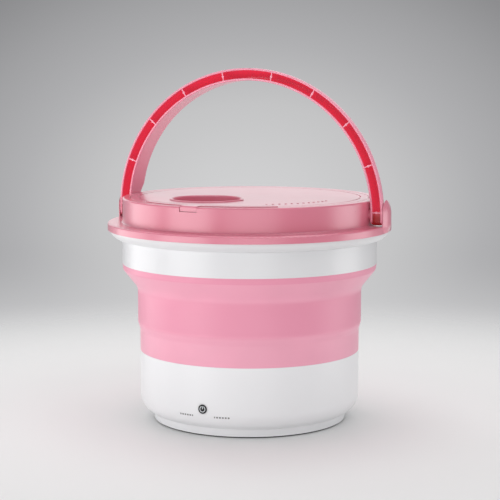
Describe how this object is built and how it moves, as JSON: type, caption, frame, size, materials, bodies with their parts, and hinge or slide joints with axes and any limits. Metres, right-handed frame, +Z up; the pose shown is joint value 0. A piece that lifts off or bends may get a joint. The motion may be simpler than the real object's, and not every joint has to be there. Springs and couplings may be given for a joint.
{
  "type": "foldable washing machine",
  "caption": "Compact bucket-shaped washing machine with a folding soft wall, round lid with a finger bowl, arched carrying handle and a front power button.",
  "frame": {"origin": "on the floor, below the middle of the round base", "axes": "+Z up along the body axis; the front with the power button faces -Y; +X is to the right as seen from the front"},
  "size_m": [0.32, 0.32, 0.3965],
  "materials": {
    "pink_gloss": "gloss",
    "handle_pink": "gloss",
    "white_gloss": "gloss",
    "pink_soft": "satin",
    "tub_white": "satin",
    "white_matte": "matte",
    "gear_white": "matte",
    "seal_grey": "matte",
    "foot_grey": "matte",
    "steel": "satin",
    "can_steel": "satin",
    "magnet": "matte",
    "rotor_steel": "satin",
    "button_black": "gloss",
    "symbol_white": "matte",
    "board_green": "satin",
    "socket_cream": "matte",
    "jack_black": "satin",
    "nut_brass": "satin",
    "wire_red": "satin"
  },
  "bodies": {
    "base": {"base_housing": "white_gloss", "bottom_cover": "white_matte", "cover_screws": "steel", "rubber_foot_ring": "foot_grey", "tub_floor": "tub_white", "drain_strainer": "steel", "drain_spout": "white_matte", "drain_o_ring": "seal_grey", "lower_hoop": "white_matte", "bellows": "pink_soft", "upper_bearing": "steel", "lower_bearing": "steel", "shaft_seal": "seal_grey", "motor_bracket": "steel", "bracket_screws": "steel", "motor_screws": "steel", "motor_can": "can_steel", "motor_end_cap": "jack_black", "motor_magnets": "magnet", "button_bezel": "white_gloss", "tact_switch": "jack_black", "control_board": "board_green", "board_screws": "steel", "board_socket": "socket_cream", "power_jack": "jack_black", "jack_nut": "nut_brass", "motor_leads": "wire_red", "jack_leads": "wire_red"},
    "drain_closure": {"drain_cap": "white_matte"},
    "upper": {"upper_hoop": "white_matte", "upper_ring": "white_gloss", "rim_seal": "seal_grey", "collar": "pink_gloss", "pivot_pins": "steel"},
    "carrying_handle": {"handle": "handle_pink"},
    "lid_assembly": {"lid": "pink_gloss", "lid_gasket": "seal_grey"},
    "agitator": {"pulsator": "white_matte", "hub_screw": "steel", "hub_cap": "white_matte", "pulsator_shaft": "steel", "output_wheel": "gear_white"},
    "rotor": {"motor_rotor": "rotor_steel", "motor_shaft": "steel", "pinion": "gear_white"},
    "button": {"power_button": "button_black", "button_symbol": "symbol_white", "switch_plunger": "button_black"}
  },
  "joints": [
    {"name": "fold", "type": "slide", "parent": "base", "child": "upper", "axis": [0, 0, 1], "range_m": [-0.075, 0], "deforming": ["bellows"]},
    {"name": "handle_swing", "type": "hinge", "parent": "upper", "child": "carrying_handle", "pos_m": [0, 0, 0.2375], "axis": [0.9272, -0.3746, 0], "range_deg": [-60, 90]},
    {"name": "lid_lift", "type": "slide", "parent": "upper", "child": "lid_assembly", "axis": [0, 0, 1], "range_m": [0, 0.035]},
    {"name": "button_press", "type": "slide", "parent": "base", "child": "button", "axis": [0.4051, 0.9143, 0], "range_m": [0, 0.001], "stiffness_N_per_m": 300, "springref_m": -0.001},
    {"name": "pulsator_spin", "type": "hinge", "parent": "base", "child": "agitator", "pos_m": [0, 0, 0.068], "axis": [0, 0, 1], "continuous": true},
    {"name": "motor_spin", "type": "hinge", "parent": "base", "child": "rotor", "pos_m": [0.0405, 0, 0.045], "axis": [0, 0, 1], "continuous": true},
    {"name": "drain_cap_pull", "type": "slide", "parent": "base", "child": "drain_closure", "axis": [0, 1, 0], "range_m": [0, 0.03]}
  ],
  "couplings": [
    {"joint": "motor_spin", "follows": "pulsator_spin", "ratio": -4}
  ]
}
